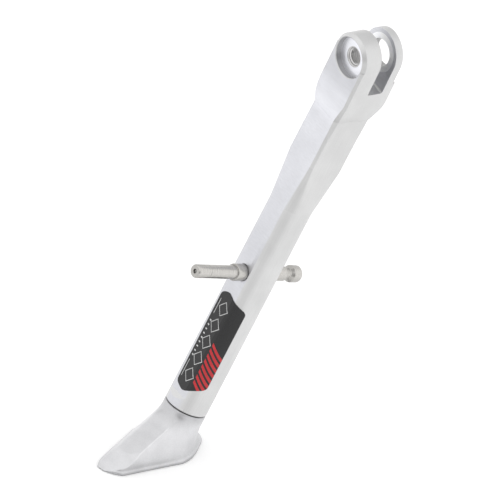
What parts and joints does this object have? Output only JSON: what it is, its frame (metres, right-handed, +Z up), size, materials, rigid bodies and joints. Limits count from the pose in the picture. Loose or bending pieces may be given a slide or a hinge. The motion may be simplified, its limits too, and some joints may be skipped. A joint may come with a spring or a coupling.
{
  "type": "motorcycle kickstand",
  "caption": "Motorcycle side stand: aluminium clevis-top leg with a bolted splayed foot, a kick peg and a grooved spring post.",
  "frame": {"origin": "on the pivot axis, midway between the two clevis ears", "axes": "+Y along the pivot axis from the threaded ear to the plain ear, +Z up with the sole level on the ground, the foot pointing to -Y"},
  "size_m": [0.0411, 0.1255, 0.2764],
  "materials": {
    "leg_aluminium": "machined and cross-brushed satin, clear anodised",
    "foot_aluminium": "bead-blasted satin, clear anodised",
    "stainless": "turned bright stainless steel",
    "insert_steel": "plain stainless steel",
    "zinc_steel": "zinc-plated steel",
    "black_vinyl": "gloss laminated vinyl film",
    "red_print": "printed under gloss laminate",
    "white_print": "printed under gloss laminate"
  },
  "bodies": {
    "root": {"leg": "leg_aluminium", "thread_insert": "insert_steel", "foot": "foot_aluminium", "foot_bolt": "zinc_steel", "foot_bolt_washer": "zinc_steel", "foot_dowel": "zinc_steel", "kick_peg": "stainless", "spring_post": "stainless", "label_film": "black_vinyl", "label_stripes": "red_print", "label_outlines": "white_print"}
  },
  "joints": []
}
